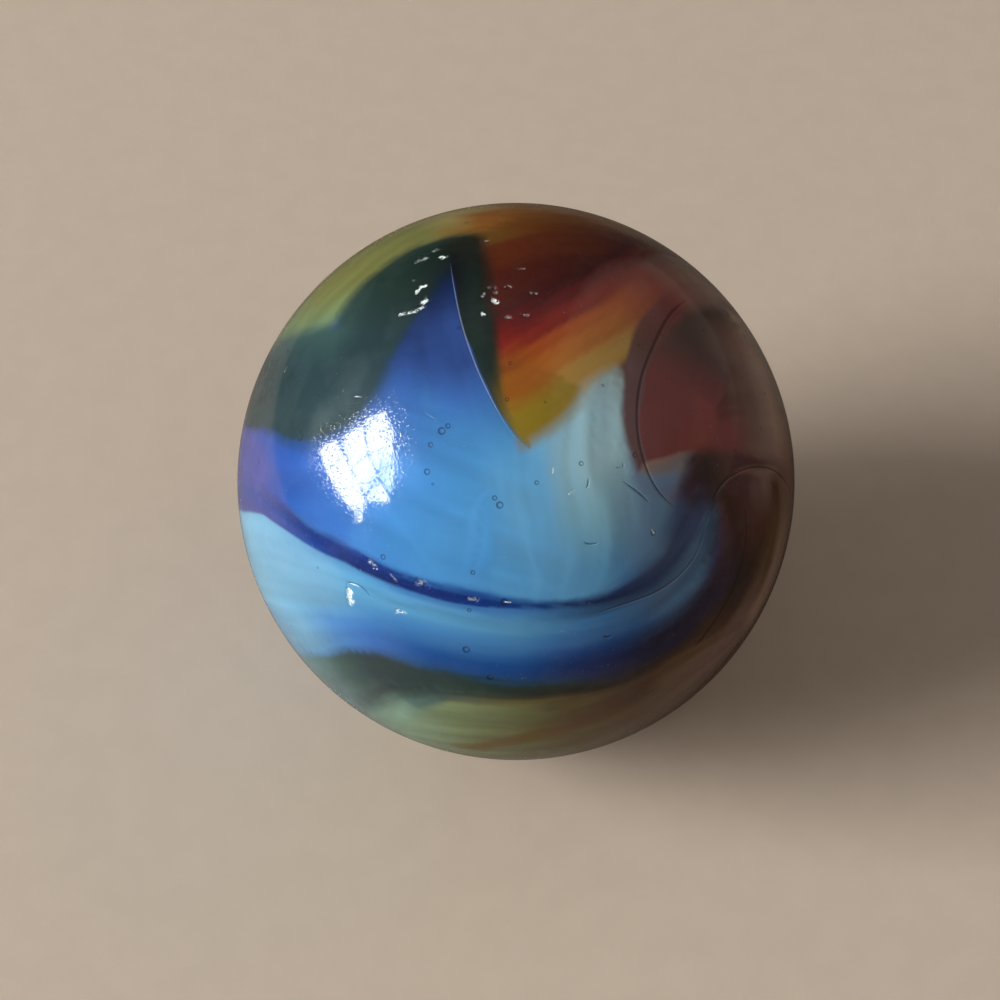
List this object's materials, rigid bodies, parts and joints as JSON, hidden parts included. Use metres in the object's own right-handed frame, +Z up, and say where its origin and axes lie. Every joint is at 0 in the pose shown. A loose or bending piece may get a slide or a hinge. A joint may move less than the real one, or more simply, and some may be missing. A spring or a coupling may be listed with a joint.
{
  "type": "glass marble",
  "caption": "Round playing marble of swirled opaque glass, with fold creases, a cut-off seam and small chips.",
  "frame": {"origin": "centre of the ball", "axes": "+Z up; the face of the swirl looks towards -Y, leaning up 50 degrees"},
  "size_m": [0.016, 0.016, 0.016],
  "materials": {
    "swirled_glass": "polished opaque glass in folded bands of sky blue, navy, green, amber, red and brown, lightly worn"
  },
  "bodies": {
    "root": {"marble": "swirled_glass"}
  },
  "joints": []
}
